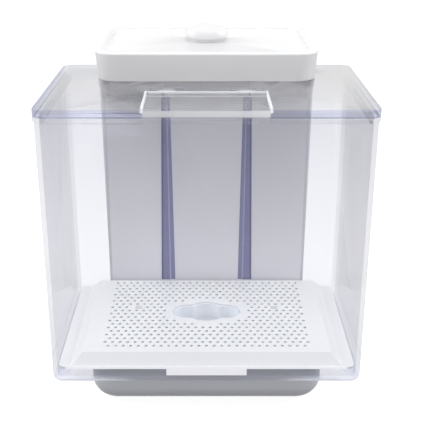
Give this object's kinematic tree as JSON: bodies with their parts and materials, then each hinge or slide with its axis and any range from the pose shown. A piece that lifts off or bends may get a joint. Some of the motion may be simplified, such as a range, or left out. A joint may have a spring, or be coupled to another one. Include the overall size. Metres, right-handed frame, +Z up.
{
  "type": "betta aquarium",
  "caption": "Clear desktop fish tank with a clear hatched lid, perforated floor tray, rear filter tower under a white knobbed cover, and a white pedestal base.",
  "frame": {"origin": "on the surface the feet stand on, at the middle of the part's width and depth", "axes": "+Z up, the tank's front faces -Y, +X to the right seen from the front"},
  "size_m": [0.202, 0.1912, 0.2379],
  "materials": {
    "clear_plastic": "polished clear moulding",
    "tinted_plastic": "polished, bluish when seen through its edge",
    "white_plastic": "smooth satin moulding",
    "grey_plastic": "smooth",
    "cup_plastic": "frosted clear moulding",
    "pump_plastic": "matt",
    "potting": "epoxy",
    "foot_rubber": "matt",
    "silicone": "translucent",
    "foam": "closed cell foam",
    "sponge": "open cell foam",
    "steel": "bright",
    "ceramic": "fired, smooth",
    "magnet": "sintered"
  },
  "bodies": {
    "tank": {"base_shell": "white_plastic", "base_cover": "white_plastic", "base_feet": "foot_rubber", "base_cover_screws": "steel", "tower_screws": "steel", "tank_pad": "foam", "tank_shell": "clear_plastic", "tower_shell": "white_plastic", "tower_seal": "silicone", "chamber_floor": "white_plastic", "back_panel": "white_plastic", "left_partition": "tinted_plastic", "right_partition": "tinted_plastic", "riser_tube": "clear_plastic", "pump_body": "pump_plastic", "pump_coils": "potting", "pump_cover": "pump_plastic", "pump_feet": "foot_rubber", "rotor_shaft": "ceramic", "cable_gland": "foot_rubber"},
    "impeller": {"rotor_magnet": "magnet", "impeller": "pump_plastic"},
    "tray": {"tray": "white_plastic", "tray_legs": "grey_plastic"},
    "waste_cup": {"waste_cup": "cup_plastic"},
    "lid": {"lid": "clear_plastic", "hinge_pins": "clear_plastic", "filter_tray": "white_plastic", "filter_sponge": "sponge"},
    "hatch": {"feed_hatch": "clear_plastic"},
    "cover": {"filter_cover": "white_plastic", "cover_gasket": "silicone", "knob": "white_plastic", "knob_screw": "steel"}
  },
  "joints": [
    {"name": "lid_lift", "type": "slide", "parent": "tank", "child": "lid", "axis": [0, 0, 1], "range_m": [0, 0.08]},
    {"name": "hatch_hinge", "type": "hinge", "parent": "lid", "child": "hatch", "pos_m": [0, -0.0485, 0.2109], "axis": [-1, 0, 0], "range_deg": [0, 105]},
    {"name": "cover_lift", "type": "slide", "parent": "lid", "child": "cover", "axis": [0, 0, 1], "range_m": [0, 0.06]},
    {"name": "tray_lift", "type": "slide", "parent": "tank", "child": "tray", "axis": [0, 0, 1], "range_m": [0, 0.11]},
    {"name": "cup_lift", "type": "slide", "parent": "tank", "child": "waste_cup", "axis": [0, 0, 1], "range_m": [0, 0.11]},
    {"name": "impeller_spin", "type": "hinge", "parent": "tank", "child": "impeller", "pos_m": [0, 0.0598, 0.015], "axis": [0, 0, 1], "continuous": true}
  ]
}
